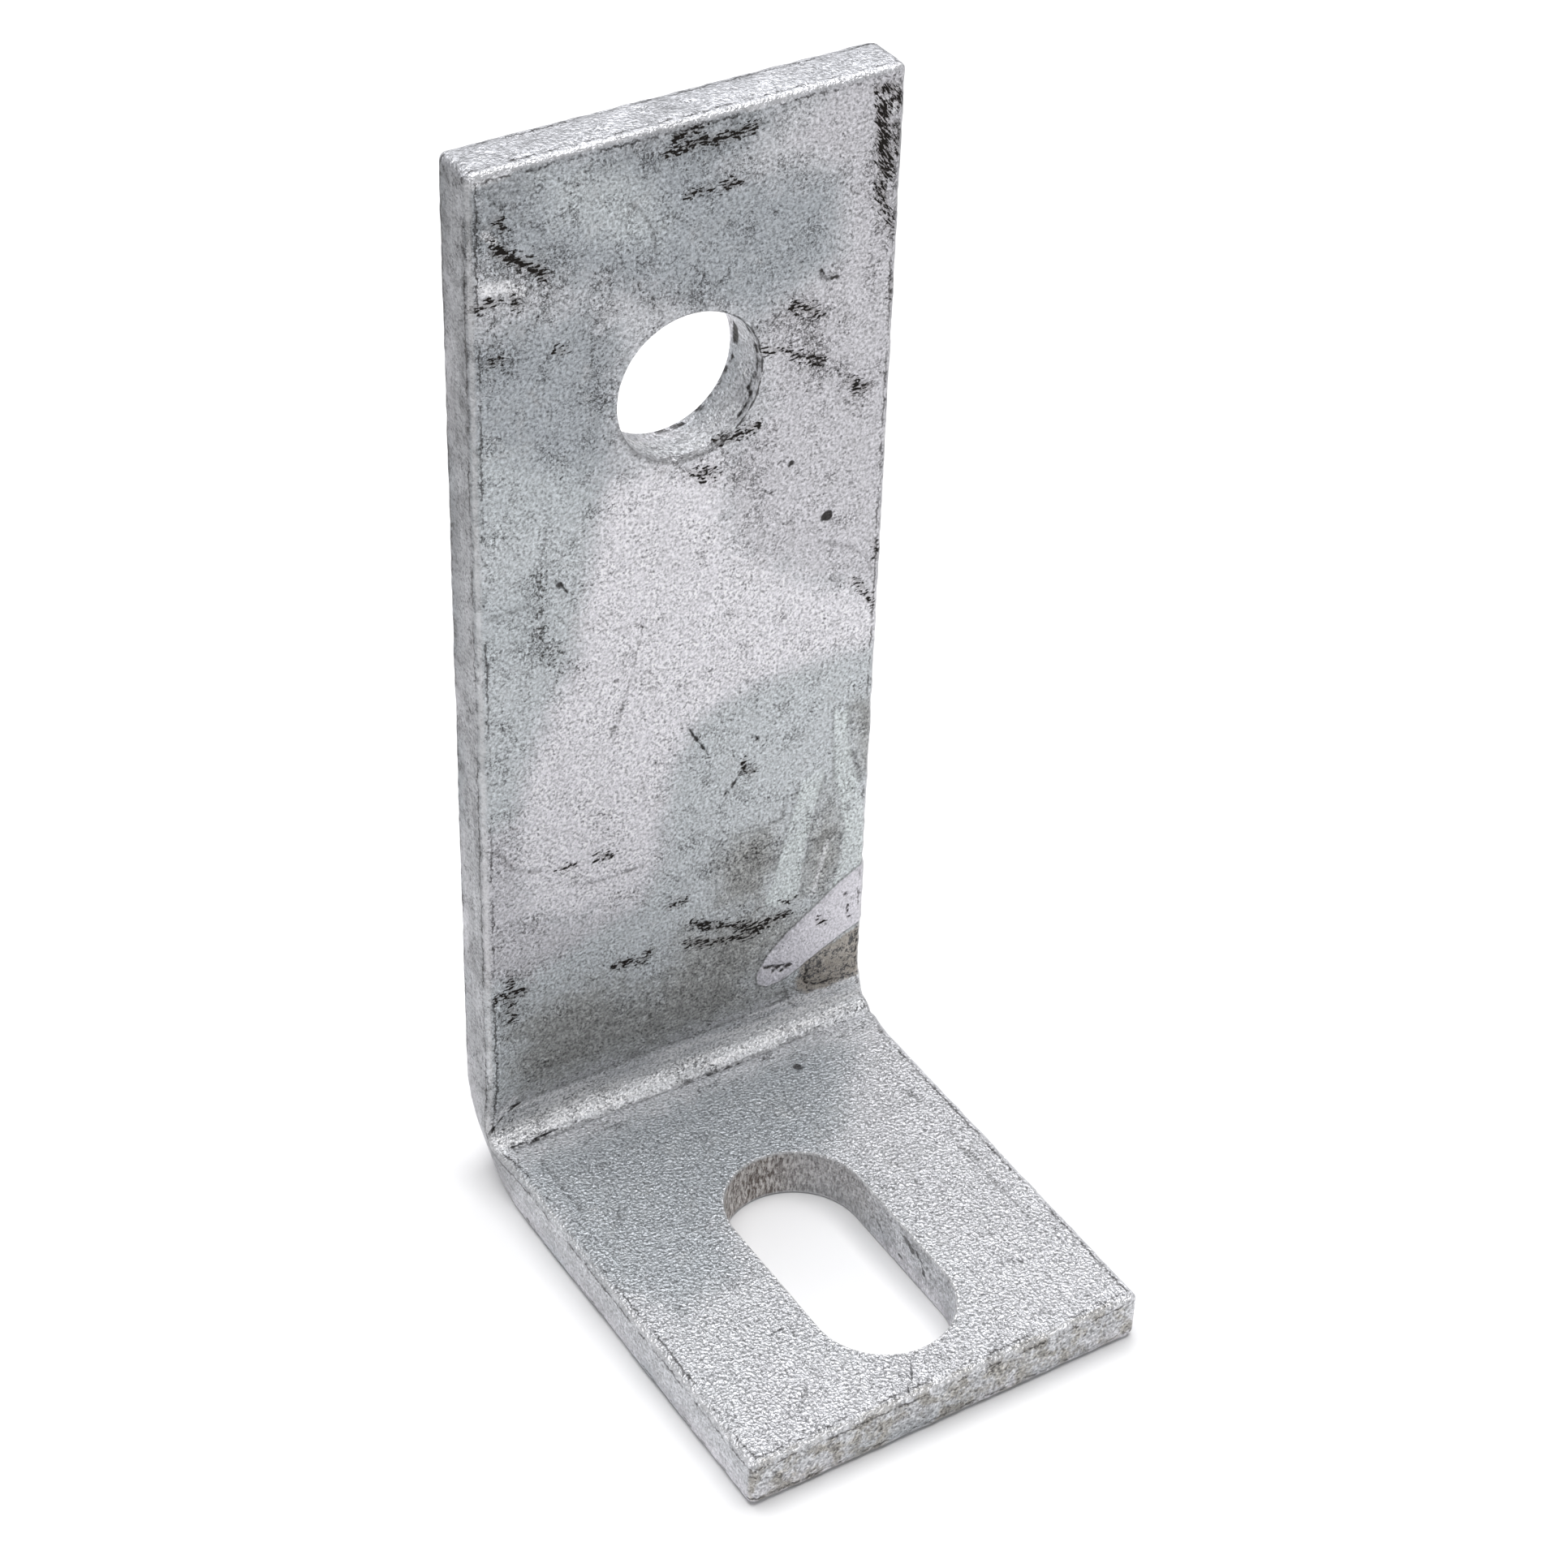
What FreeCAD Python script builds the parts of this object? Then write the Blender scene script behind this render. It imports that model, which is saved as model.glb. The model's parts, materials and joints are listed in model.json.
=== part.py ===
import FreeCAD, Part
import math
import os

from FreeCAD import Vector

# Galvanised angle bracket, folded from one length of flat steel bar. Millimetres.
# The origin is the slot's centre on the underside of the foot, where an anchor comes through.
# +X runs across the bar, the foot points to -Y, and the upright rises along +Z from the heel.

# The flat bar, and the zinc on each of its faces
bar_width = 40.0
bar_thickness = 5.0
zinc_coat = 0.1

# The folded size, over the outside faces
upright_height = 104.0
foot_length = 51.0

# The round hole in the upright, and the slot along the foot with the metal left in front of it,
# as they measure over the zinc
hole_diameter = 13.5
hole_below_top = 24.4
slot_width = 13.0
slot_length = 27.0
slot_to_toe = 4.5

# The fold: its radii, how far each side of the bar swells out at the inner face and draws in
# at the outer face, and how far into the legs this carries on
inner_radius = 2.0
outer_radius = 7.2
inner_swell = 0.6
outer_draw = 0.9
fold_run_out = 4.0

# Rounded edges: along the rolled bar, round its sheared ends, and round the punched rims
arris_radius = 0.8
end_radius = 0.6
rim_radius = 0.35

# The number of sections that shape the sides of the fold
fold_sections = 9

# Points closer than this count as the same place
touch = 0.001

# Sizes that follow from those above
width = bar_width + 2 * zinc_coat
thickness = bar_thickness + 2 * zinc_coat
front = -slot_length / 2 - slot_to_toe
back = front + foot_length
hole_height = upright_height - hole_below_top
# this far up the upright, and along the foot, the bar has its own width again
fold_reach = max(outer_radius, thickness + inner_radius) + fold_run_out
# how far the trimming shape stands off the broad faces, so that it only cuts the sides
stand_off = inner_radius / 2


def line(start, end):
    """Straight edge between two points."""
    return Part.LineSegment(start, end).toShape()


def quarter(start, end, corner, radius):
    """Quarter circle between two points, rounding off the sharp corner between them."""
    centre = start + end - corner
    middle = centre + (corner - centre).normalize() * radius
    return Part.Arc(start, middle, end).toShape()


def profile():
    """The folded bar's outline from the side: two legs with a radius outside and inside."""
    inside = back - thickness
    top_back = Vector(0, back, upright_height)
    heel = Vector(0, back, 0)
    heel_top = Vector(0, back, outer_radius)
    heel_front = Vector(0, back - outer_radius, 0)
    toe_low = Vector(0, front, 0)
    toe_high = Vector(0, front, thickness)
    crease = Vector(0, inside, thickness)
    crease_front = Vector(0, inside - inner_radius, thickness)
    crease_top = Vector(0, inside, thickness + inner_radius)
    top_front = Vector(0, inside, upright_height)
    return Part.Face(Part.Wire([
        line(top_back, heel_top),
        quarter(heel_top, heel_front, heel, outer_radius),
        line(heel_front, toe_low),
        line(toe_low, toe_high),
        line(toe_high, crease_front),
        quarter(crease_front, crease_top, crease, inner_radius),
        line(crease_top, top_front),
        line(top_front, top_back),
    ]))


def along_fold(radius, offset, share):
    """Point on a broad face of the fold, at a share of the way from the upright to the foot.

    The face runs straight down, round an arc of the radius and straight out, and lies an offset
    in from the back face and up from the underside."""
    straight = fold_reach - offset - radius
    arc = radius * math.pi / 2
    travel = share * (2 * straight + arc)
    if travel < straight:
        return Vector(0, back - offset, fold_reach - travel)
    if travel > straight + arc:
        past_arc = travel - straight - arc
        return Vector(0, back - offset - radius - past_arc, offset)
    turn = (travel - straight) / radius
    centre = Vector(0, back - offset - radius, offset + radius)
    return centre + Vector(0, math.cos(turn), -math.sin(turn)) * radius


def fold_section(share):
    """Outline across the bar in the fold: wider at the inner face, narrower at the outer face."""
    outer = along_fold(outer_radius, 0, share)
    inner = along_fold(inner_radius, thickness, share)
    strain = (1 - math.cos(2 * math.pi * share)) / 2
    outer_half = width / 2 - outer_draw * strain
    inner_half = width / 2 + inner_swell * strain
    through = inner - outer
    spread = (inner_half - outer_half) / through.Length
    through.normalize()
    # both ends stand off the faces, with the sides carried on at their own slope
    low = outer - through * stand_off
    high = inner + through * stand_off
    low_side = Vector(outer_half - spread * stand_off, 0, 0)
    high_side = Vector(inner_half + spread * stand_off, 0, 0)
    return Part.makePolygon([
        low - low_side,
        low + low_side,
        high + high_side,
        high - high_side,
        low - low_side,
    ])


def side_limits():
    """The space between the bar's two sides: straight beside the legs, shaped beside the fold."""
    depth = thickness + 2 * stand_off
    beside_upright = Part.makeBox(
        width, depth, upright_height - fold_reach + stand_off,
        Vector(-width / 2, back - thickness - stand_off, fold_reach))
    beside_foot = Part.makeBox(
        width, back - fold_reach - front + stand_off, depth,
        Vector(-width / 2, front - stand_off, -stand_off))
    shares = [index / (fold_sections - 1) for index in range(fold_sections)]
    beside_fold = Part.makeLoft([fold_section(share) for share in shares], True, False)
    return beside_fold.fuse([beside_upright, beside_foot])


def folded_bar():
    """The bar folded to its profile and spread at the fold, with every edge still sharp."""
    broadest = width + 4 * inner_swell
    body = profile().extrude(Vector(broadest, 0, 0))
    body.translate(Vector(-broadest / 2, 0, 0))
    return body.common(side_limits()).removeSplitter().Solids[0]


def all_at(edge, along, place):
    """Whether both ends of an edge lie at one place, measured along a direction."""
    return all(abs(vertex.Point.dot(along) - place) < touch for vertex in edge.Vertexes)


def with_rounded_edges(bar):
    """The bar with its long arrises rounded, and then the edges of its two sheared ends."""
    up = Vector(0, 0, 1)
    out = Vector(0, -1, 0)
    arrises = []
    for edge in bar.Edges:
        across_bar = edge.BoundBox.XLength > width / 2
        at_end = all_at(edge, up, upright_height) or all_at(edge, out, -front)
        seam = all_at(edge, up, fold_reach) or all_at(edge, out, fold_reach - back)
        if not (across_bar or at_end or seam):
            arrises.append(edge)
    rounded = bar.makeFillet(arris_radius, arrises)
    ends = []
    for edge in rounded.Edges:
        if all_at(edge, up, upright_height) or all_at(edge, out, -front):
            ends.append(edge)
    return rounded.makeFillet(end_radius, ends)


def punched(bar, punch, through):
    """The bar with a hole punched through it along a direction, and both rims rounded."""
    pierced = bar.cut(punch)
    rims = []
    for edge in pierced.Edges:
        first = edge.valueAt(edge.FirstParameter)
        last = edge.valueAt(edge.LastParameter)
        middle = edge.valueAt((edge.FirstParameter + edge.LastParameter) / 2)
        on_punch = punch.distToShape(Part.Vertex(middle))[0] < touch
        runs_round = abs((last - first).dot(through)) < touch
        if on_punch and runs_round:
            rims.append(edge)
    return pierced.makeFillet(rim_radius, rims)


def hole_punch():
    """Round punch for the hole in the upright."""
    behind = Vector(0, back + thickness, hole_height)
    return Part.makeCylinder(hole_diameter / 2, 3 * thickness, behind, Vector(0, -1, 0))


def slot_punch():
    """Punch with round ends for the slot along the foot."""
    radius = slot_width / 2
    reach = slot_length / 2 - radius
    below = -thickness
    rear_left = Vector(-radius, reach, below)
    rear_right = Vector(radius, reach, below)
    front_left = Vector(-radius, -reach, below)
    front_right = Vector(radius, -reach, below)
    outline = Part.Wire([
        Part.Arc(rear_left, Vector(0, reach + radius, below), rear_right).toShape(),
        line(rear_right, front_right),
        Part.Arc(front_right, Vector(0, -reach - radius, below), front_left).toShape(),
        line(front_left, rear_left),
    ])
    return Part.Face(outline).extrude(Vector(0, 0, 3 * thickness))


def angle_bracket():
    """The finished bracket, one solid."""
    bar = with_rounded_edges(folded_bar())
    bar = punched(bar, hole_punch(), Vector(0, 1, 0))
    bar = punched(bar, slot_punch(), Vector(0, 0, 1))
    return bar.Solids[0]


os.makedirs("parts", exist_ok=True)
bracket = angle_bracket()
box = bracket.optimalBoundingBox()
print("valid", bracket.isValid(), "volume", round(bracket.Volume, 1), "faces", len(bracket.Faces))
print("box", round(box.XLength, 2), round(box.YLength, 2), round(box.ZLength, 2))
print("centre of mass", [round(value, 2) for value in bracket.CenterOfMass])
bracket.exportStep("parts/angle_bracket.step")
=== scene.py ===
import json
import math

import bpy
import numpy as np
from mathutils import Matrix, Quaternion, Vector, geometry


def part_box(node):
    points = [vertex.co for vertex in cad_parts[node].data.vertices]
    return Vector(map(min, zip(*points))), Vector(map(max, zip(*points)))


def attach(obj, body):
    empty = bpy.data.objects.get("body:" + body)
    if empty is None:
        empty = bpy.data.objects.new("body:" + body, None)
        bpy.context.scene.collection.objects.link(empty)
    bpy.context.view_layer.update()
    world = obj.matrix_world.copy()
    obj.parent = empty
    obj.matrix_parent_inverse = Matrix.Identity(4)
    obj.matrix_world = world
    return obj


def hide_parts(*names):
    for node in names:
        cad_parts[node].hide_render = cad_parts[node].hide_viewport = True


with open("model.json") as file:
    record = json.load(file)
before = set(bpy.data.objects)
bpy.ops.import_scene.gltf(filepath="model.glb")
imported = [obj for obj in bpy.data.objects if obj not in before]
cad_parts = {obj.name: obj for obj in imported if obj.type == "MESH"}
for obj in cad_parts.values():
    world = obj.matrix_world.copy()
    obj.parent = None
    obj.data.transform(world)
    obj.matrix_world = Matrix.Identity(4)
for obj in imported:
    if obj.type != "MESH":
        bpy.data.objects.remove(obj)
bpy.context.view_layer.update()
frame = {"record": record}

# The flat blank
# A length of hot-rolled flat bar, sheared off at both ends. A round bolt hole and a slot are
# punched through it while it is flat. It stands here where the upright will be, and runs on
# straight down past the fold. Lengths are in millimetres, and the mesh is scaled when it is made.
MM = 0.001
low, high = (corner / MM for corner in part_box("angle_bracket"))
mounts = {mount["name"]: mount for mount in frame["record"]["mounts"]}
bar_width = 40.2
bar_thickness = 5.2
arris_radius = 0.8
end_radius = 0.6
corner_radius = 0.15
rim_radius = 0.2
hole_radius = mounts["upright_hole"]["dims"]["r_mm"]
hole_height = mounts["upright_hole"]["pos_m"][2] / MM
slot_radius = mounts["foot_slot"]["dims"]["hole_r_mm"]
slot_length = mounts["foot_slot"]["dims"]["slot_length_mm"]

# the fold, as the press leaves it: its radii, and how far it reaches into each leg
inner_radius = 2.0
outer_radius = 7.2
fold_reach = 11.2
# the length of blank that goes into the fold, halfway between its outer and inner faces
outer_path = 2 * (fold_reach - outer_radius) + outer_radius * math.pi / 2
inner_path = 2 * (fold_reach - bar_thickness - inner_radius) + inner_radius * math.pi / 2
fold_length = (outer_path + inner_path) / 2
# a point of the foot at y is this much further down the blank
foot_drop = high.y - fold_reach - (fold_reach - fold_length)
blank_top = high.z
blank_toe = low.y - foot_drop
inner_face = high.y - bar_thickness

# the mesh's spacing on the broad faces, and its steps round an arris and across an edge
spacing = 0.42
arc_steps = 5
wall_steps = 9


def round_points(centre, radii, start, turn):
    """Points round part of an ellipse, with the direction out of the metal's edge at each."""
    steps = max(4, round(abs(turn) * max(radii) / spacing))
    found = []
    for step in range(steps):
        angle = start + turn * step / steps
        way = Vector((math.cos(angle), math.sin(angle)))
        found.append((centre + Vector((way.x * radii[0], way.y * radii[1])), way))
    return found


def straight_points(start, end, way):
    """Points along a straight edge, without its last."""
    steps = max(1, round((end - start).length / spacing))
    return [(start.lerp(end, step / steps), way) for step in range(steps)]


def bar_outline():
    """The edge of the blank's broad face, where its rounded arrises begin."""
    right = bar_width / 2 - arris_radius
    top = blank_top - end_radius
    toe = blank_toe + end_radius
    corners = [(right, top, 0), (-right, top, 1), (-right, toe, 2), (right, toe, 3)]
    points = []
    for x, along, quarter in corners:
        way_in = Vector((-math.copysign(1, x), math.copysign(1, (toe + top) / 2 - along)))
        centre = Vector((x, along)) + way_in * corner_radius
        start = quarter * math.pi / 2
        points += round_points(centre, (corner_radius, corner_radius), start, math.pi / 2)
        way = Vector((math.cos(start + math.pi / 2), math.sin(start + math.pi / 2)))
        far_x, far_along, _ = corners[(quarter + 1) % 4]
        far_in = Vector((-math.copysign(1, far_x), math.copysign(1, (toe + top) / 2 - far_along)))
        far_centre = Vector((far_x, far_along)) + far_in * corner_radius
        out = way * corner_radius
        points += straight_points(centre + out, far_centre + out, way)
    return points


def slot_outline(centre, radius, reach):
    """The edge of a round hole, or of a slot that reaches up and down from its centre."""
    up = Vector((0, reach))
    across = Vector((radius, 0))
    points = round_points(centre + up, (radius, radius), 0, math.pi)
    if reach:
        points += straight_points(centre + up - across, centre - up - across, Vector((-1, 0)))
    points += round_points(centre - up, (radius, radius), math.pi, math.pi)
    if reach:
        points += straight_points(centre - up + across, centre + up + across, Vector((1, 0)))
    return [(place, -way) for place, way in reversed(points)]


def distance_out(places, centre, radius, reach):
    """How far places lie outside a round hole or a slot."""
    beyond = np.maximum(np.abs(places[:, 1] - centre.y) - reach, 0)
    return np.hypot(places[:, 0] - centre.x, beyond) - radius


def broad_face(loops, clear):
    """Even triangles over the broad face between the loops, as places and corner triples."""
    rim = [tuple(place) for loop in loops for place, _ in loop]
    edges = []
    first = 0
    for loop in loops:
        count = len(loop)
        edges += [(first + k, first + (k + 1) % count) for k in range(count)]
        first += count
    rows = np.arange(blank_toe, blank_top, spacing * math.sqrt(3) / 2)
    columns = np.arange(-bar_width / 2, bar_width / 2, spacing)
    across, along = np.meshgrid(columns, rows)
    across[::2] += spacing / 2
    lattice = np.stack([across.ravel(), along.ravel()], 1)
    lattice = lattice[clear(lattice) > spacing * 0.6]
    points = [Vector(place) for place in rim] + [Vector(place) for place in lattice]
    made, _, faces, sources, _, _ = geometry.delaunay_2d_cdt(points, edges, [], 0, 1e-6)
    places = np.array(made)
    faces = np.array(faces)
    faces = faces[clear(places[faces].mean(1)) > 0]
    rim_of = {source: index for index, found in enumerate(sources) for source in found}
    return places, faces, [rim_of[index] for index in range(len(rim))]


def ring_faces(one, other):
    """The quads between two rings of as many corners."""
    count = len(one)
    return [(one[k - 1], other[k - 1], other[k], one[k]) for k in range(count)]


def blank_mesh():
    """The punched blank as one closed mesh, with its edges rounded."""
    hole = (Vector((0, hole_height)), hole_radius + rim_radius, 0)
    slot = (Vector((0, -foot_drop)), slot_radius + rim_radius, slot_length / 2 - slot_radius)
    loops = [bar_outline(), slot_outline(*hole), slot_outline(*slot)]
    half = np.array([bar_width / 2 - arris_radius, (blank_top - blank_toe) / 2 - end_radius])
    middle = np.array([0, (blank_top + blank_toe) / 2])

    def clear(places):
        """How far places lie inside the broad face from its nearest edge."""
        past = np.abs(places - middle) - half + corner_radius
        inside = corner_radius - np.hypot(*np.maximum(past, 0).T) - np.minimum(past.max(1), 0)
        return np.min([inside, distance_out(places, *hole), distance_out(places, *slot)], 0)

    flat, triangles, rim = broad_face(loops, clear)
    count = len(flat)
    # the inner broad face, then the outer one, and then the rings that join their edges
    corners = [(x, inner_face, along) for x, along in flat]
    corners += [(x, high.y, along) for x, along in flat]
    faces = [tuple(int(k) for k in face) for face in triangles]
    faces += [tuple(int(k) + count for k in face[::-1]) for face in triangles]
    # each edge's radius across the bar and along it
    edge_radii = [(arris_radius, end_radius), (rim_radius, rim_radius), (rim_radius, rim_radius)]
    first = 0
    for loop, radii in zip(loops, edge_radii):
        here = rim[first:first + len(loop)]
        first += len(loop)
        # each ring across the edge, as its share of the radius and its place through the bar
        rings = []
        for step in range(1, arc_steps + 1):
            angle = step / arc_steps * math.pi / 2
            rings.append((math.sin(angle), 1 - math.cos(angle), 0))
        rings += [(1, 1, step / wall_steps) for step in range(1, wall_steps)]
        rings += [(share, round_off, 1) for share, round_off, _ in rings[arc_steps - 1::-1]]
        past = list(here)
        for share, round_off, through in rings:
            ring = []
            for place, way in loop:
                radius = radii[0] * way.x ** 2 + radii[1] * way.y ** 2
                deep = radius * round_off if not through else bar_thickness - radius * round_off
                if 0 < through < 1:
                    deep = radius + (bar_thickness - 2 * radius) * through
                across = place.x + way.x * radii[0] * share
                along = place.y + way.y * radii[1] * share
                ring.append(len(corners))
                corners.append((across, inner_face + deep, along))
            faces += ring_faces(past, ring)
            past = ring
        faces += ring_faces(past, [index + count for index in here])
    mesh = bpy.data.meshes.new("angle_bracket_zinc")
    mesh.from_pydata((np.array(corners) * MM).tolist(), [], faces)
    mesh.attributes.new("blank", "FLOAT_VECTOR", "POINT")
    mesh.attributes["blank"].data.foreach_set("vector", np.array(corners, np.float32).ravel())
    mesh.shade_smooth()
    return mesh


bracket = bpy.data.objects.new("galvanised_bracket", blank_mesh())
bpy.context.scene.collection.objects.link(bracket)


# The marks in the zinc
# The bracket is dipped in molten zinc after folding. Where the coat cooled fast it is smooth and
# pale, where it alloyed through it is dull and blue-grey, and handling leaves dark scuffs.
# Some of these fields are painted light: reflection and shade on the foot, and shade and glints
# along the fold.
mark_blur = 0.5


def on_foot(x, y):
    """The place on the blank of a point on the foot's upper face."""
    return x, y - foot_drop


def distance_to(places, line):
    """How far places lie from a line of straight runs, or from a single point."""
    found = np.hypot(*(places - line[0]).T)
    for start, end in zip(line, line[1:]):
        run = np.subtract(end, start)
        share = np.clip((places - start) @ run / (run @ run), 0, 1)
        found = np.minimum(found, np.hypot(*(places - start - share[:, None] * run).T))
    return found


def inside(places, outline):
    """Whether places lie inside a closed outline."""
    found = np.zeros(len(places), bool)
    for start, end in zip(outline, outline[1:] + outline[:1]):
        crosses = (start[1] > places[:, 1]) != (end[1] > places[:, 1])
        rise = end[1] - start[1] or 1.0
        crossing = start[0] + (places[:, 1] - start[1]) * (end[0] - start[0]) / rise
        found ^= crosses & (places[:, 0] < crossing)
    return found


def line_field(places, marks, blur):
    """How deep places lie inside the nearest mark, from -1 to 1, with 1 a blur's length in."""
    field = np.full(len(places), -1.0)
    for half_width, line in marks:
        field = np.maximum(field, (half_width - distance_to(places, line)) / blur)
    return np.clip(field, -1, 1)


def patch_field(places, patches, blur):
    """How deep places lie inside the nearest outlined patch, from -1 to 1."""
    field = np.full(len(places), -1.0)
    for outline in patches:
        deep = distance_to(places, outline + outline[:1]) / blur
        field = np.maximum(field, np.where(inside(places, outline), deep, -deep))
    return np.clip(field, -1, 1)


# each mark is a half width and a line of points, on the inner face of the upright or of the foot
scuffs = [
    (0.52, [(-2.4, 101.4), (0.5, 101.9), (3.6, 101.6)]),
    (0.45, [(-1.6, 102.7), (0.6, 103.0)]),
    (0.45, [(2.2, 101.5), (4.6, 101.6), (5.6, 101.8)]),
    (0.30, [(-0.5, 97.4), (1.6, 97.5)]),
    (0.45, [(2.9, 97.4), (4.2, 97.3)]),
    (0.55, [(17.1, 102.2), (18.6, 102.0), (19.4, 100.6)]),
    (0.80, [(17.7, 100.6), (17.9, 97.6), (18.3, 94.6)]),
    (0.40, [(19.2, 98.6), (19.2, 96.0)]),
    (0.50, [(17.8, 93.6), (18.3, 91.2)]),
    (0.35, [(18.8, 90.2), (19.2, 88.8)]),
    (0.30, [(19.6, 84.4), (19.5, 82.6)]),
    (0.55, [(-17.8, 97.2), (-16.2, 95.9), (-14.2, 94.6), (-13.4, 93.8)]),
    (0.35, [(-17.6, 100.0), (-16.9, 98.7)]),
    (0.45, [(-19.6, 92.4), (-17.8, 92.6)]),
    (0.35, [(-16.2, 92.7), (-15.8, 91.5)]),
    (0.35, [(-18.3, 87.2), (-17.1, 87.3)]),
    (0.30, [(-12.4, 86.7), (-11.6, 86.3)]),
    (0.50, [(9.9, 84.4), (11.2, 83.8), (12.2, 83.1)]),
    (0.28, [(6.6, 81.2), (9.1, 80.5), (10.7, 79.4), (12.8, 78.4)]),
    (0.45, [(11.6, 79.0), (12.8, 78.4)]),
    (0.40, [(15.7, 75.5), (16.5, 74.7), (17.4, 74.4)]),
    (0.30, [(16.3, 75.6), (16.1, 74.0)]),
    (0.50, [(3.0, 73.4), (4.6, 73.6), (6.6, 73.9)]),
    (0.40, [(0.2, 71.2), (1.2, 70.9), (2.1, 71.0)]),
    (0.28, [(1.2, 70.3), (2.6, 70.2)]),
    (0.40, [(6.2, 38.9), (6.3, 37.9), (7.2, 37.5)]),
    (0.35, [(-12.4, 34.1), (-11.0, 33.9)]),
    (0.30, [(-8.8, 34.0), (-7.3, 33.6)]),
    (0.40, [(-1.4, 25.2), (0.3, 25.4)]),
    (0.42, [(-19.2, 21.8), (-17.6, 21.9), (-16.2, 21.9)]),
    (0.40, [(-17.6, 23.9), (-17.7, 22.4), (-17.5, 18.6)]),
    (0.48, [(-7.0, 20.6), (-5.7, 20.6), (-4.2, 20.0), (-3.2, 20.9)]),
    (0.52, [(1.3, 22.2), (3.0, 21.2), (4.9, 20.4), (7.4, 19.4), (11.4, 19.2)]),
    (0.48, [(0.7, 20.2), (3.2, 19.2), (7.0, 18.4), (9.9, 19.1)]),
    (0.25, [(10.8, 20.9), (12.2, 20.7)]),
    (0.32, [(14.8, 17.2), (15.5, 16.6)]),
    (0.35, [(17.2, 55.0), (18.2, 53.4), (19.3, 51.5)]),
    (0.28, [(19.3, 57.8), (19.5, 56.6)]),
]
cracks_and_crease_shade = [
    (0.20, [(12.4, 87.1), (12.7, 86.3), (14.1, 85.9)]),
    (0.60, [(14.0, 62.6)]),
    (0.34, [(10.1, 69.1)]),
    (0.36, [(-12.3, 64.2)]),
    (0.16, [(-12.1, 64.0), (-11.2, 63.0)]),
    (0.22, [(11.4, 60.75)]),
    (0.20, [(13.6, 65.0)]),
    (0.22, [(-6.9, 52.6)]),
    (0.17, [(7.4, 67.2), (8.0, 66.8), (8.6, 66.9)]),
    (0.16, [(0.4, 45.0), (1.4, 42.9)]),
    (0.24, [(1.8, 42.4), (2.2, 41.8)]),
    (0.18, [(7.1, 41.4), (7.6, 41.0)]),
    (0.18, [(4.2, 35.9), (5.4, 37.0), (6.0, 37.9)]),
    (0.19, [(9.0, 13.8), (12.0, 12.8)]),
    (0.17, [(9.8, 12.9), (11.6, 12.4)]),
    (0.15, [(10.9, 15.6), (12.2, 14.9)]),
    (0.10, [(19.0, 21.0), (18.2, 19.6), (17.6, 18.5)]),
    (0.13, [(17.7, 19.0), (18.5, 18.4)]),
    (0.12, [(18.1, 17.8), (18.0, 16.1), (18.6, 16.3)]),
    (0.10, [(19.0, 17.9), (19.3, 16.7)]),
    (0.17, [(-19.9, 4.3), (-18.9, 5.4), (-17.9, 6.6), (-16.8, 7.4)]),
    # these two run along the fold's crease: painted shade in the crease
    (0.15, [(-18.4, 2.0), (-16.2, 1.8), (-13.6, 2.1)]),
    (0.13, [(-0.6, 1.5), (3.4, 1.4), (7.6, 1.4)]),
    (0.20, [(-17.8, 7.3), (-16.6, 7.4)]),
    (0.20, [(13.9, 11.6), (13.6, 9.6), (14.6, 8.4), (17.0, 8.0)]),
    *[(half_width, [on_foot(*place) for place in line]) for half_width, line in (
        (0.10, [(-1.9, -14.4), (-2.8, -16.0), (-4.0, -17.4)]),
        (0.11, [(-10.4, -5.5), (-9.2, -5.7), (-8.2, -6.3)]),
        (0.36, [(9.6, 22.9), (9.8, 22.4)]),
        (0.10, [(17.2, 17.1), (17.4, 14.6)]),
        (0.14, [(9.7, -1.7)]),
        (0.10, [(12.8, -8.3), (13.3, -9.3)]),
    )],
]
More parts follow.
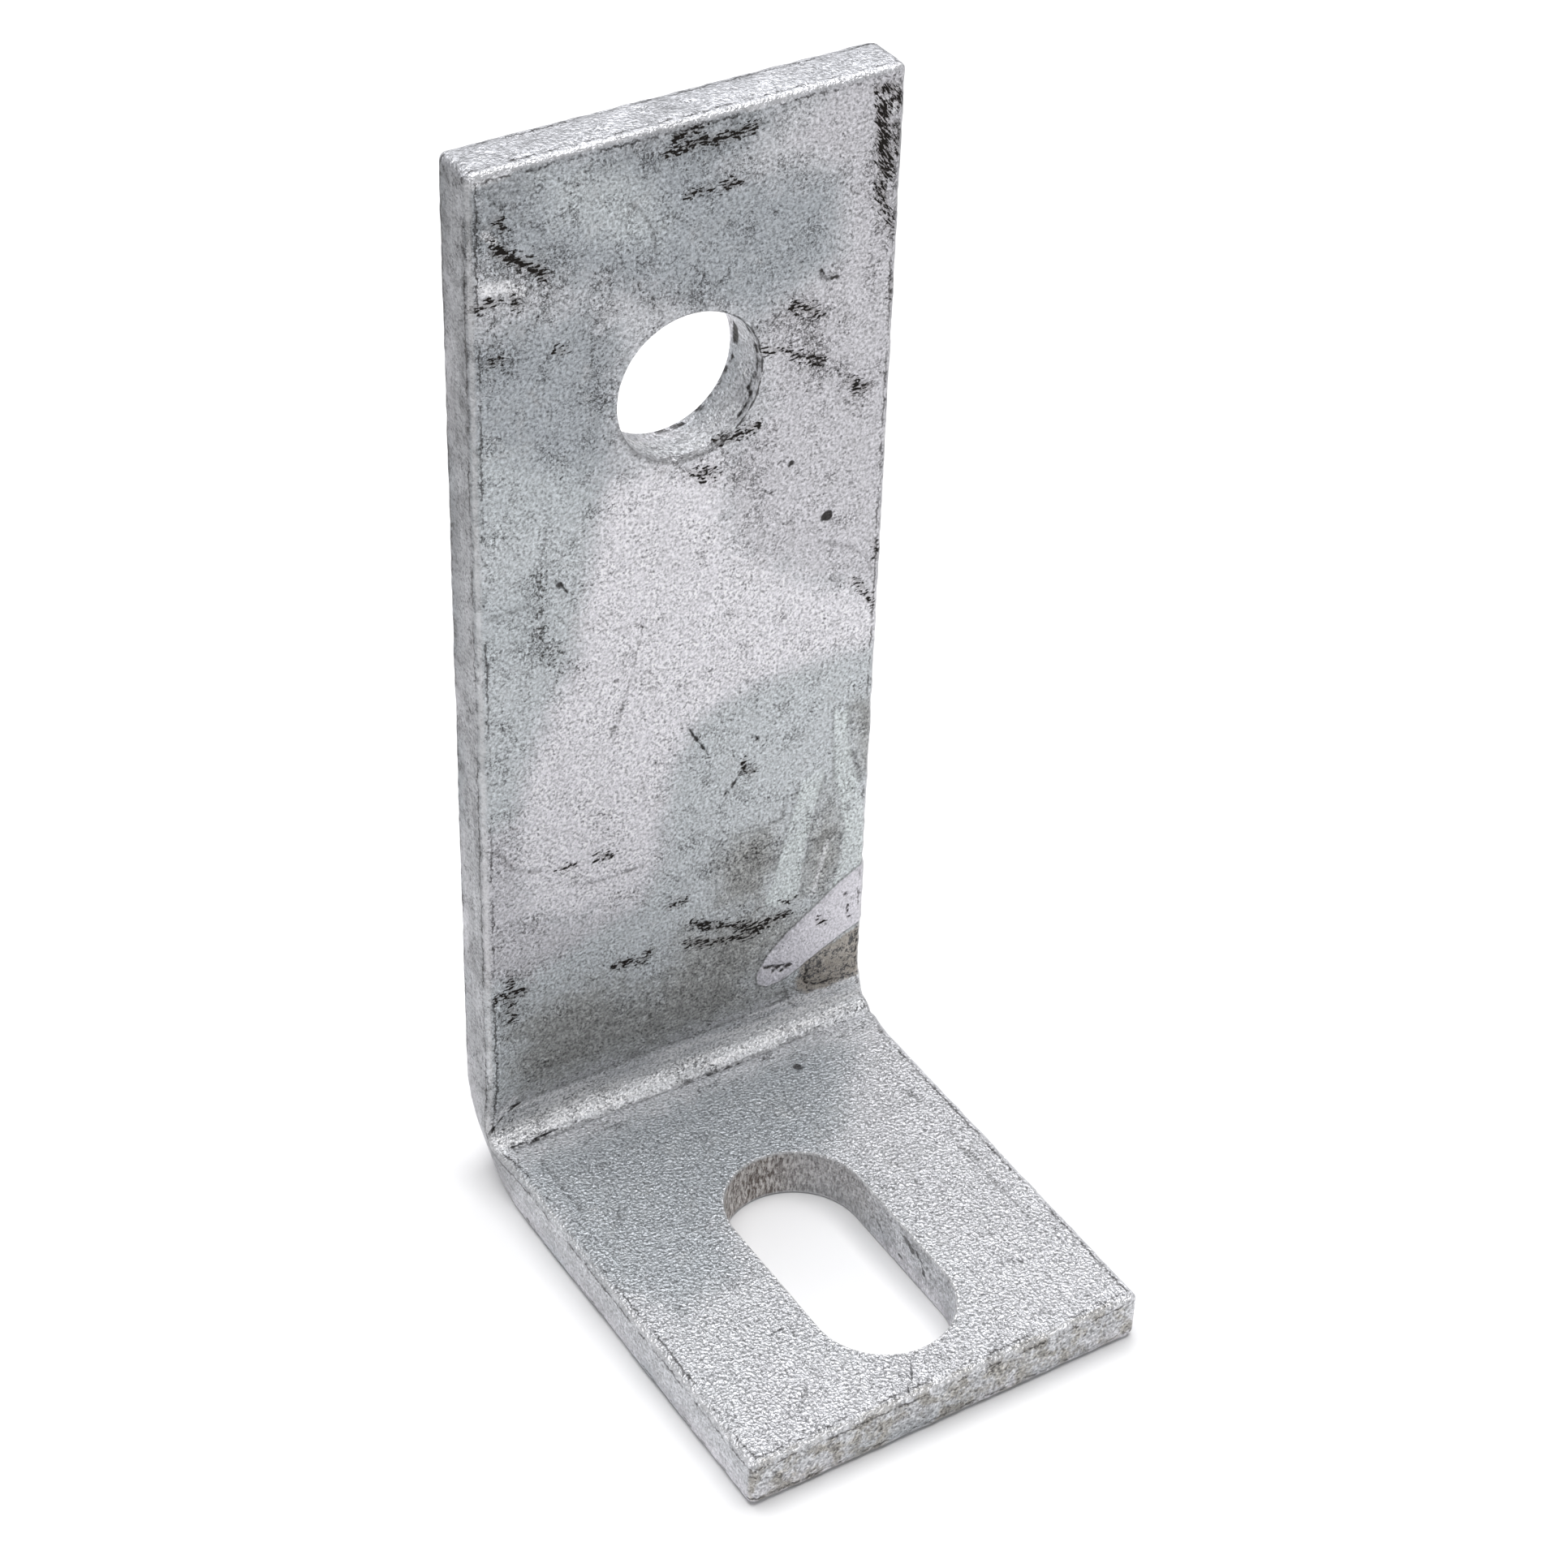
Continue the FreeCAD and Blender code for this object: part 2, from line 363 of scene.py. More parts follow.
faint_lines_and_crease_shade = [
    (0.17, [(-9.9, 31.4), (-7.6, 31.0), (-4.0, 31.2)]),
    (0.16, [(-18.9, 63.0), (-15.2, 63.1)]),
    # these three run along the fold, at the top of its band and in its crease: painted shade
    (0.20, [(-17.0, 7.7), (-8.0, 7.5), (-3.0, 7.7), (4.0, 7.5), (11.0, 7.7)]),
    (0.24, [(-17.8, 1.6), (-12.0, 1.5), (-6.0, 1.4), (0.0, 1.5), (8.6, 1.4)]),
    (0.19, [(8.0, 1.4), (11.0, 1.6), (14.4, 1.9)]),
    (0.17, [(11.2, 11.4), (11.4, 9.4), (11.9, 6.4)]),
    (0.15, [(-4.2, 58.0), (-5.0, 55.0), (-5.6, 51.5), (-7.4, 46.6)]),
    (0.15, [(-18.6, 38.5), (-17.2, 35.8), (-14.2, 34.6)]),
    (0.16, [(5.6, 30.6), (8.6, 30.4), (10.6, 31.0), (10.9, 33.0)]),
    (0.14, [(12.2, 34.2), (10.8, 28.0), (9.2, 23.0)]),
    (0.14, [(14.9, 34.0), (13.4, 27.0), (12.9, 21.0)]),
    (0.14, [(15.4, 41.0), (15.9, 34.0), (17.2, 27.0), (16.4, 20.6)]),
    (0.14, [(-6.8, 98.6), (-4.6, 97.2), (-3.6, 95.2), (-3.4, 93.4)]),
    (0.15, [(13.2, 60.2), (16.6, 58.6), (18.4, 56.8), (19.4, 54.0)]),
    (0.15, [(17.2, 41.0), (17.4, 37.0), (19.0, 32.0)]),
    (0.20, [(-6.5, 77.2), (-5.3, 75.1), (-3.5, 73.6), (-1.2, 72.8), (1.2, 72.8), (3.5, 73.6)]),
    *[(half_width, [on_foot(*place) for place in line]) for half_width, line in (
        (0.14, [(-8.5, -5.4), (-8.7, -6.8)]),
        (0.16, [(-9.7, -9.6), (-9.6, -12.1)]),
        (0.16, [(-16.2, -15.0), (-13.6, -14.7), (-11.9, -13.2), (-10.6, -11.8)]),
        (0.16, [(17.4, 14.6), (17.0, 12.6)]),
        (0.18, [(10.9, 4.4), (10.8, 2.9)]),
        (0.16, [(17.3, 5.0), (17.4, 3.4)]),
        (0.18, [(11.6, -15.5), (12.3, -16.0)]),
        (0.16, [(17.0, 6.0), (17.2, -5.0)]),
        (0.16, [(-17.2, 24.0), (-17.3, 16.0)]),
    )],
]
# pale lines of zinc, and painted glints: along the fold's crease, at its left corner and along the
# top arris
pale_lines_and_glints = [
    (0.22, [(15.6, 26.2), (15.0, 24.0), (14.2, 20.6)]),
    (0.34, [(-20.0, 4.9), (-18.8, 6.2), (-17.4, 8.6)]),
    (0.28, [(-20.2, 3.6), (-15.0, 3.4), (-11.0, 3.0)]),
    (0.22, [(-20.2, 2.5), (-14.0, 2.7), (-7.0, 2.4)]),
    (0.30, [(-13.4, 2.9), (-9.6, 2.7), (-5.2, 2.8)]),
    (0.32, [(1.8, 2.7), (8.6, 2.8), (13.0, 3.1), (17.2, 3.5)]),
    (0.60, [(-18.8, 93.9), (-16.8, 93.6), (-15.6, 92.9)]),
    (0.30, [(-18.6, 98.6), (-17.6, 97.9)]),
    (0.60, [(-19.6, 103.4), (-16.6, 103.6)]),
    (0.40, [(5.2, 103.6), (8.8, 103.7)]),
    (0.45, [(17.7, 101.0), (18.8, 100.2)]),
    (0.40, [(14.4, 10.2), (15.8, 9.8)]),
]
# each patch is an outline round a tone of the coat, and the few marked below also round painted
# reflection and shade
pale_patches = [
    [(20.5, 52.5), (14, 55.5), (9, 58.5), (5, 62), (3.4, 66), (3.4, 72.4), (-7.2, 72.6), (-8.6, 68),
     (-9.6, 62), (-10.4, 56), (-14, 50), (-15.8, 44), (-16.4, 38), (-16, 31), (-12, 28), (-5, 27.5),
     (-2.5, 32), (-2, 39), (0.5, 45.4), (5.5, 47.2), (12, 47.8), (20.5, 47.4)],
]
lavender_patches_and_foot_reflection = [
    [(20.5, 104), (14, 104), (9, 99.5), (14.5, 96), (15, 88), (12, 86), (7.4, 84), (7.4, 75),
     (4.6, 72), (4, 66), (6, 61.4), (13, 56.4), (20.5, 53)],
    [(-20.5, 41), (-16.4, 41), (-16, 30), (-12, 27.4), (-5, 27), (-15, 23.4), (-20.5, 24)],
    # on the foot: painted reflection, lighter to the right and front, where the foot mirrors the
    # white surround
    [on_foot(*place) for place in (
        (20.5, 25), (17.5, 23), (12.5, 17), (8.5, 11), (8.5, -8), (5, -14), (-6, -13), (-13, -7),
        (-17, -12), (-20.5, -17.5), (20.5, -17.5))],
]
blue_patches_and_foot_reflection = [
    [(-20.5, 104), (8, 104), (6, 101), (3, 98.4), (12, 96), (14, 95), (14, 88), (7, 84.5), (-4, 89),
     (-11, 92), (-20.5, 97.5)],
    [(-20.5, 90), (-10, 90), (-6.5, 86), (-7.2, 74), (-9.4, 70), (-20.5, 72)],
    [(-20.5, 66), (-13.8, 66), (-13.4, 62), (-13.6, 57), (-20.5, 58)],
    # on the foot: painted reflection and shade, blue-grey by the fold and to the left, where the
    # foot mirrors the upright
    [on_foot(*place) for place in (
        (-20.5, 24.5), (13, 24.5), (15.5, 21.5), (9, 14), (2, 9.5), (-7, 8), (-9, 2), (-16, 1),
        (-20.5, 8))],
]
mist_patches = [
    [(-14.5, 103), (-6, 100.5), (-2.6, 96), (-3.4, 93.6), (-7, 94.6), (-12, 98.2)],
    [(-20.5, 80), (-9.0, 74), (-9.4, 66), (-10.4, 57.6), (-14, 51), (-16.2, 44), (-17, 38),
     (-20.5, 38)],
    [(20.5, 47), (12, 47.4), (5, 46.8), (0, 44.6), (-2, 38), (-2, 30), (-5, 26.4), (-20.5, 25.4),
     (-20.5, 8.5), (20.5, 8.5)],
]
band_patches = [
    [(14.9, 34.8), (12.6, 34.4), (11.0, 28.6), (9.4, 23.0), (8.9, 20.8), (12.4, 20.6),
     (13.2, 27.0)],
    [(15.6, 41.0), (17.2, 41.0), (17.6, 35.6), (19.4, 29.0), (20.5, 26.0), (20.5, 19.0),
     (15.8, 19.4), (17.0, 23.0), (17.4, 27.2), (16.0, 33.4)],
]
olive_streaks = [
    [(13.1, 21.0), (13.8, 27.4), (15.0, 32.4), (16.6, 28.0), (17.0, 23.4), (15.2, 19.6)],
    [(5.6, 30.4), (10.0, 30.4), (9.4, 25.0), (8.0, 22.0), (3.6, 23.4), (4.0, 28.0)],
    [(17.9, 41.0), (20.5, 41.0), (20.5, 33.0), (18.6, 33.6)],
]
# the wide olive patch above the fold is partly the coat's olive alloy and partly painted shade, the
# foot's reflection in the upright
olive_patches_and_fold_shade = [
    [(-17.2, 18.4), (-17.2, 8.6), (12.0, 8.6), (8.0, 13.0), (12.4, 17.6), (8.0, 20.4), (0.4, 21.4),
     (-3.0, 15.6), (-9.0, 19.6)],
]
# the first dark patch, above the fold, is partly dark coat and partly painted shade
dark_patches_and_fold_shade = [
    [(-15.6, 17.4), (-15.4, 10.4), (8.4, 9.8), (7.0, 13.0), (9.4, 16.4), (4.0, 18.0), (-1.0, 13.6),
     (-5.0, 16.6), (-11.0, 18.2)],
    [(-20.5, 104.5), (-13.5, 104.5), (-15.5, 100.4), (-20.5, 99.4)],
    [(-6.6, 104.5), (6.0, 104.5), (5.0, 102.4), (-6.0, 102.6)],
]
rust_patches = [
    [(13.2, 12.4), (16.0, 13.2), (20.2, 14.6), (20.2, 7.4), (14.0, 7.4), (12.8, 9.0)],
]
tongue = [
    (20.5, 22.4), (17.2, 20.8), (14.2, 18.7), (11.6, 17.0), (9.5, 15.1), (8.25, 13.2), (8.4, 11.9),
    (9.5, 11.2), (11.0, 11.3), (12.6, 11.9), (15.6, 13.4), (18.0, 14.5), (20.5, 15.2),
]
# marks on the back of the upright
outer_scuffs = [
    (0.60, [(-17.2, 99.0), (-15.8, 96.0), (-16.4, 93.8)]),
    (0.45, [(6.0, 100.4), (9.4, 100.8)]),
    (0.40, [(12.6, 88.0), (15.0, 87.2)]),
    (0.50, [(-4.0, 62.0), (0.5, 61.2), (2.4, 61.8)]),
    (0.35, [(9.8, 52.4), (11.6, 51.0)]),
    (0.45, [(17.4, 40.0), (17.8, 34.6)]),
    (0.50, [(-12.0, 30.4), (-8.6, 29.4)]),
    (0.70, [(3.0, 14.6), (9.6, 13.6), (13.0, 14.0)]),
    (0.40, [(-18.4, 9.0), (-15.8, 8.2)]),
]
outer_cracks = [
    (0.30, [(-9.4, 82.0)]),
    (0.22, [(4.8, 44.6)]),
    (0.12, [(-14.8, 70.2), (-13.6, 68.0)]),
    (0.12, [(8.6, 25.0), (11.0, 24.2), (12.2, 22.4)]),
]
# where the dross lies thickest on the inner faces
dross_strokes = [
    (2.2, [(-18, 98), (-15.5, 94.5), (-12.5, 93)]),
    (1.6, [(-18.5, 91), (-17.5, 86.5)]),
    (2.0, [(8, 83.5), (12, 81.5), (13, 78)]),
    (1.5, [(13, 78), (17, 75)]),
    (1.2, [(-8, 92), (-3, 89), (1, 88)]),
    (1.0, [(-9, 88), (-8.5, 82), (-8, 77)]),
    (1.3, [(-1, 72), (3, 70.5), (5.5, 70)]),
    (1.2, [(-4, 102), (1, 100), (6, 102)]),
    (1.4, [(18.8, 101), (18.6, 90)]),
    (1.0, [(-14.5, 66), (-14, 58), (-11, 55)]),
    (2.4, [(14, 10), (19, 10)]),
    (1.5, [(3, 29), (9, 28)]),
    (1.2, [(-19, 24), (-17, 19)]),
]
arc_speckle = [(0.7, [(-14.2, 65.9), (-14.1, 59.2), (-13.0, 56.4), (-10.2, 54.9)])]

corners = np.empty((len(bracket.data.vertices), 3), np.float32)
bracket.data.attributes["blank"].data.foreach_get("vector", corners.ravel())
places = corners[:, [0, 2]].astype(float)
on_inner_face = corners[:, 1] < inner_face + arris_radius
on_outer_face = corners[:, 1] > high.y - arris_radius


def paint(name, field, outer=None):
    """Keeps a field on the blank's inner face, and one on its outer face, as a point attribute."""
    bracket.data.attributes.new(name, "FLOAT", "POINT")
    rest = -1 if outer is None else np.where(on_outer_face, outer, -1)
    field = np.where(on_inner_face, field, rest).astype(np.float32)
    bracket.data.attributes[name].data.foreach_set("value", field)


# how far each point lies from the hole's wall, the slot's wall, the bar's sides and its faces
slot_reach = slot_length / 2 - slot_radius
hole_wall = distance_out(places, Vector((0, hole_height)), hole_radius, 0)
slot_wall = distance_out(places, Vector((0, -foot_drop)), slot_radius, slot_reach)
to_rim = np.minimum(hole_wall, slot_wall)
to_side = np.min([
    bar_width / 2 - np.abs(places[:, 0]), blank_top - places[:, 1], places[:, 1] - blank_toe], 0)
depth_in = corners[:, 1] - inner_face
to_face = np.minimum(depth_in, high.y - corners[:, 1])
# the band painted bright along the bar's edges, rubbed zinc and a painted highlight, is this wide,
# and this wide round the hole and the slot
edge_reach = 1.5
rim_reach = 0.6


def keep(name, field):
    """Keeps a field over the whole blank as a point attribute."""
    bracket.data.attributes.new(name, "FLOAT", "POINT")
    bracket.data.attributes[name].data.foreach_set("value", field.astype(np.float32))


keep("wall", np.abs(to_rim) < rim_radius * 0.6)
keep("edge", 1 - np.clip(np.hypot(np.maximum(to_side, 0), to_face) / edge_reach, 0, 1))
keep("rim", 1 - np.clip(np.hypot(np.maximum(to_rim, 0), to_face) / rim_reach, 0, 1))
# marks on the hole's wall, by the way round from its right side and the depth from the inner face
round_hole = np.arctan2(places[:, 1] - hole_height, places[:, 0]) * hole_radius
in_hole = np.stack([round_hole, depth_in], 1)
hole_marks = [
    (0.40, [(0.3, 4.2), (1.2, 4.0), (2.2, 3.7)]),
    (0.32, [(-1.6, 4.2), (-1.0, 4.7)]),
    (0.28, [(-11.0, 4.8), (-8.6, 4.7)]),
    (0.28, [(-7.0, 4.8), (-4.0, 4.7), (-2.5, 4.8)]),
    (0.24, [(-2.6, 1.3), (-0.4, 0.8), (2.4, 1.0), (4.4, 0.6)]),
    (0.24, [(-5.4, 0.6), (-2.6, 0.6)]),
]
# marks on the slot's right wall, by the place along the foot and the depth below its upper face
in_slot = np.stack([places[:, 1] + foot_drop, depth_in], 1)
slot_marks = [
    (0.30, [(-0.4, 1.1), (-1.4, 1.3), (-2.2, 1.9)]),
    (0.22, [(-2.6, 1.2), (-3.6, 1.9), (-4.0, 2.9)]),
    (0.16, [(3.8, 2.6), (2.8, 3.4)]),
    (0.16, [(0.6, 3.6), (-1.0, 4.2)]),
]
# a wall's marks reach the points this near to it
touching = 0.45
at_hole = np.abs(hole_wall) < touching
at_slot = (np.abs(slot_wall) < touching) & (places[:, 0] > slot_radius * 0.7)
hole_field = line_field(in_hole, hole_marks, mark_blur)
slot_field = line_field(in_slot, slot_marks, mark_blur)
wall_field = np.where(at_hole, hole_field, np.where(at_slot, slot_field, -1))
# a dark line just outside the hole's rim, part of the way round its right side
rim_line = hole_radius + 0.2
turns = np.linspace(-0.9, 1.1, 9)
rim_arc = [(rim_line * math.cos(turn), hole_height + rim_line * math.sin(turn)) for turn in turns]
crack_field = line_field(places, cracks_and_crease_shade + [(0.09, rim_arc)], mark_blur)
outer_field = np.where(on_outer_face, line_field(places, outer_cracks, mark_blur), -1)
keep("crack", np.maximum(np.where(on_inner_face, crack_field, outer_field), wall_field))
paint("scuff", line_field(places, scuffs, 0.8), line_field(places, outer_scuffs, 0.8))
for name, lines, blur in (
    ("dross", dross_strokes, 2.0),
    ("faint", faint_lines_and_crease_shade, mark_blur),
    ("light", pale_lines_and_glints, mark_blur),
    ("speckle", arc_speckle, 1.0),
):
    paint(name, line_field(places, lines, blur))
for name, patches, blur in (
    ("rust", rust_patches, 1.0),
    ("pale", pale_patches, 2.0),
    ("lavender", lavender_patches_and_foot_reflection, 2.0),
    ("blue", blue_patches_and_foot_reflection, 3.0),
    ("mist", mist_patches, 2.0),
    ("band", band_patches, 0.6),
    ("dark", dark_patches_and_fold_shade, 3.2),
    ("run", [tongue], 0.6),
):
    paint(name, patch_field(places, patches, blur))
wide_olive_and_fold_shade = patch_field(places, olive_patches_and_fold_shade, 3.2)
paint("olive", np.maximum(wide_olive_and_fold_shade, patch_field(places, olive_streaks, 1.8)))


# The fold and the coat's relief
# A press folds the cold bar through a right angle. The bar spreads at the inner face and draws in
# at the outer one. The zinc then lies over it in low waves and grain, with a run near the fold.
class Value:
    """A socket in a node tree. A sum in Python on such values adds the Math nodes for it."""

    def __init__(self, tree, socket=None):
        self.tree = tree
        self.socket = socket

    def node(self, kind, settings=None, sockets=None, output=0):
        """The output of a new node, whose settings come first, and then its sockets."""
        made = self.tree.nodes.new(kind)
        for name, setting in (settings or {}).items():
            setattr(made, name, setting)
        for name, value in (sockets or {}).items():
            if isinstance(value, Value):
                self.tree.links.new(value.socket, made.inputs[name])
            else:
                made.inputs[name].default_value = value
        return Value(self.tree, made.outputs[output])

    def maths(self, operation, *values):
        return self.node("ShaderNodeMath", {"operation": operation}, dict(enumerate(values)))

    def vector_maths(self, operation, *values):
        return self.node("ShaderNodeVectorMath", {"operation": operation}, dict(enumerate(values)))

    def __add__(self, other):
        return self.maths("ADD", self, other)

    def __sub__(self, other):
        return self.maths("SUBTRACT", self, other)

    def __rsub__(self, other):
        return self.maths("SUBTRACT", other, self)

    def __mul__(self, other):
        return self.maths("MULTIPLY", self, other)

    def __truediv__(self, other):
        return self.maths("DIVIDE", self, other)

    __radd__ = __add__
    __rmul__ = __mul__

    def at_least(self, other):
        return self.maths("MAXIMUM", self, other)

    def at_most(self, other):
        return self.maths("MINIMUM", self, other)

    def step(self, low, high):
        """Rises smoothly from 0 to 1 as the value goes from low to high."""
        return self.node(
            "ShaderNodeMapRange", {"interpolation_type": "SMOOTHSTEP"},
            {"Value": self, "From Min": low, "From Max": high})

    def noise(self, scale, detail, roughness=0.5, seed=(0, 0, 0), stretch=(1, 1, 1), warp=0.0):
        """Noise over places in millimetres, about 0.5, with a scale in grains per millimetre."""
        placed = self.vector_maths("MULTIPLY_ADD", self, stretch, seed)
        return self.node("ShaderNodeTexNoise", None, {
            "Vector": placed, "Scale": scale, "Detail": detail, "Roughness": roughness,
            "Distortion": warp})


inner_swell = 0.6
outer_draw = 0.9
wave_height = 0.10
grain_height = 0.05
run_height = 0.14
bead_height = 0.34

tree = bpy.data.node_groups.new("folded_and_dipped", "GeometryNodeTree")
tree.is_modifier = True
tree.interface.new_socket("Geometry", in_out="OUTPUT", socket_type="NodeSocketGeometry")
tree.interface.new_socket("Geometry", in_out="INPUT", socket_type="NodeSocketGeometry")
fold_sizes = {
    "Half width": bar_width / 2,
    "Thickness": bar_thickness,
    "Back face": high.y,
    "Inner radius": inner_radius,
    "Outer radius": outer_radius,
    "Fold reach": fold_reach,
    "Fold length": fold_length,
    "Inner swell": inner_swell,
    "Outer draw": outer_draw,
    "Wave height": wave_height,
    "Grain height": grain_height,
    "Run height": run_height,
    "Bead height": bead_height,
    "Seed": 7.0,
}
for name in fold_sizes:
    tree.interface.new_socket(name, in_out="INPUT", socket_type="NodeSocketFloat")
tree.interface.new_socket("Zinc", in_out="INPUT", socket_type="NodeSocketMaterial")

given = tree.nodes.new("NodeGroupInput")
size = {name: Value(tree, given.outputs[name]) for name in [*fold_sizes, "Zinc", "Geometry"]}
start = Value(tree)


def kept(name, kind="FLOAT"):
    """A field that is kept on the blank's points."""
    return start.node("GeometryNodeInputNamedAttribute", {"data_type": kind}, {"Name": name})


blank = kept("blank", "FLOAT_VECTOR")
x, y, along = (start.node("ShaderNodeSeparateXYZ", None, {0: blank}, output) for output in range(3))
reach = size["Fold reach"]
below = reach - along
share = (below / size["Fold length"]).at_least(0).at_most(1)
past_fold = (below - size["Fold length"]).at_least(0)


def folded_place(radius, offset):
    """Where a broad face's points go, an offset in from the back face and the underside."""
    straight = reach - offset - radius
    arc = radius * (math.pi / 2)
    travel = below.at_most(0) + share * (2 * straight + arc) + past_fold
    turn = ((travel - straight) / radius).at_least(0).at_most(math.pi / 2)
    past_arc = (travel - straight - arc).at_least(0)
    out = size["Back face"] - offset - radius * (1 - start.maths("COSINE", turn)) - past_arc
    up = reach - travel.at_most(straight) - radius * start.maths("SINE", turn)
    return out, up


def blend(share, one, other):
    """One value turning into another as a share goes from 0 to 1."""
    return one + share * (other - one)


through = (size["Back face"] - y) / size["Thickness"]
outer = folded_place(size["Outer radius"], 0)
inner = folded_place(size["Inner radius"], size["Thickness"])
strain = (1 - start.maths("COSINE", share * (2 * math.pi))) / 2
spread = strain * blend(through, 0 - size["Outer draw"], size["Inner swell"]) / size["Half width"]
place = start.node("ShaderNodeCombineXYZ", None, {
    0: x * (1 + spread),
    1: blend(through, outer[0], inner[0]),
    2: blend(through, outer[1], inner[1]),
})
folded = start.node("GeometryNodeSetPosition", None, {
    "Geometry": size["Geometry"],
    "Position": start.vector_maths("MULTIPLY", place, (MM,) * 3),
})

# the coat's waves and grain sink a little from the bar's faces, and only the run stands proud
crack_depth = 0.06
crest_height = 0.08
groove_depth = 0.10
seed = start.node("ShaderNodeCombineXYZ", None, {0: size["Seed"], 1: size["Seed"]})
dipped = start.vector_maths("ADD", blank, seed)
wave = dipped.noise(0.11, 1)
grain = dipped.noise(0.8, 2)
run = kept("run").step(-0.3, 0.7)
crack = kept("crack").step(-0.3, 0.4)
bead = dipped.noise(0.55, 2)
edge = kept("edge")
# the zinc stands in a low crest along the crease, with a fine groove in front of it
drift = dipped.noise(0.12, 1) * 1.2 - 0.6
crest_off = (along + drift - 2.9) / 1.1
groove_off = (along + drift - 1.5) / 0.45
inner_side = through.step(0.8, 0.95)
crest = (1 - crest_off * crest_off).at_least(0)
groove = (1 - groove_off * groove_off).at_least(0)
height = (
    (wave - 1) * size["Wave height"] + (grain - 1) * size["Grain height"]
    + run * size["Run height"] - crack * crack_depth
    + (bead - 0.7).at_most(0) * edge * size["Bead height"]
    + (crest * crest_height - groove * groove_depth) * inner_side
)
normal = start.node("GeometryNodeInputNormal")
position = start.node("GeometryNodeInputPosition")
shift = start.node("ShaderNodeVectorMath", {"operation": "SCALE"}, {
    "Vector": normal, "Scale": height * MM})
moved = start.vector_maths("ADD", position, shift)
# nothing leaves the box of the solid bracket
moved = start.vector_maths("MAXIMUM", moved, low * MM)
moved = start.vector_maths("MINIMUM", moved, high * MM)
relief = start.node("GeometryNodeSetPosition", None, {"Geometry": folded, "Position": moved})
realised = start.node("GeometryNodeRealizeInstances", None, {"Geometry": relief})
coated = start.node("GeometryNodeSetMaterial", None, {
    "Geometry": realised, "Material": size["Zinc"]})
finished = tree.nodes.new("NodeGroupOutput")
tree.links.new(coated.socket, finished.inputs["Geometry"])


# The zinc
# Bare hot-dip zinc: soft metal with a grey oxide film, smooth and lavender where it is pure, and
# matt and blue-grey or olive where iron has alloyed up through it. Dross leaves dark specks.
# Parts of this colour are painted light: reflection and shade on the foot, shade and highlights
# along the fold, shade on the sides and the walls, and highlights on the arrises and rims.
def srgb(red, green, blue):
    """A colour given as 8-bit screen values, in linear light."""
    return tuple(((value / 255 + 0.055) / 1.055) ** 2.4 for value in (red, green, blue)) + (1.0,)


zinc = bpy.data.materials.new("hot_dip_zinc")
zinc.use_nodes = True
shader = zinc.node_tree.nodes["Principled BSDF"]
skin = Value(zinc.node_tree)


def painted(name, output="Fac"):
    """A field painted on the blank, as the material reads it."""
    return skin.node("ShaderNodeAttribute", {"attribute_name": name}, output=output)


def mixed(factor, one, other):
    """One colour turning into another."""
    return skin.node("ShaderNodeMix", {"data_type": "RGBA"}, {0: factor, 6: one, 7: other}, 2)


def shaded(colour, by):
    """A colour made lighter or darker by a factor."""
    scaling = {"operation": "SCALE"}
    return skin.node("ShaderNodeVectorMath", scaling, {"Vector": colour, "Scale": by})


def near(value, centre, inner, outer):
    """1 where a value is within one distance of a centre, falling to 0 at another."""
    return 1 - skin.maths("ABSOLUTE", value - centre).step(inner, outer)


spot = painted("blank", "Vector")
across, through, up_bar = (
    skin.node("ShaderNodeSeparateXYZ", None, {0: spot}, part) for part in range(3))
mottle = spot.noise(0.26, 4, 0.62, (9, 2, 4), warp=1.2)
patchy = spot.noise(0.5, 3, 0.65, (8, 1, 8))
grit = spot.noise(1.3, 2, 0.6, (1, 8, 6))
pebble = spot.noise(3.4, 1, 0.5, (6, 6, 2))
dust = spot.noise(3.4, 3, 0.8, (4, 4, 9))
fleck = spot.noise(3.6, 2, 0.7, (5, 9, 2))
on_the_foot = up_bar.step(1.5, -6)

plain_zinc = srgb(207, 208, 212)
pale_zinc = srgb(234, 232, 237)
lavender_zinc = srgb(212, 210, 215)
blue_zinc = srgb(173, 178, 183)
mist_zinc = srgb(202, 207, 210)
green_zinc = srgb(216, 222, 222)
olive_zinc_and_fold_shade = srgb(160, 159, 155)
dark_zinc_and_fold_shade = srgb(120, 119, 117)
run_zinc = srgb(218, 216, 222)
scuff_brown = srgb(30, 25, 21)

warp = (mottle - 0.5) * 2.2 + (grit - 0.5) * 1.2


def laid(name, colour, coat, amount, softness=0.8):
    """A colour with another laid over it where a painted field is up."""
    here = (painted(name) + warp).step(-softness, softness) * amount
    return mixed(here, colour, coat)


colour = shaded(plain_zinc[:3], 1 + (mottle - 0.5) * 0.5)
# on the foot the blue and lavender patches are painted reflection and shade, not the coat's own
# tone
colour = laid("blue", colour, blue_zinc, 0.95 - on_the_foot * 0.15)
colour = laid("mist", colour, mist_zinc, 0.8, 1.1)
colour = laid("lavender", colour, lavender_zinc, 0.8 - on_the_foot * 0.55)
colour = laid("pale", colour, pale_zinc, 0.9)
# over the fold the olive and dark tones are partly painted shade
colour = laid("olive", colour, olive_zinc_and_fold_shade, 0.72, 1.2)
colour = laid("dark", colour, dark_zinc_and_fold_shade, 0.2, 1.0)
rough_coat = (painted("olive").at_least(painted("dark")) + warp).step(-1, 0.6)
band = (painted("band") + (grit - 0.5) * 2).step(-0.4, 0.4)
colour = mixed(band * (0.66 + (mottle - 0.5) * 1.2), colour, green_zinc)

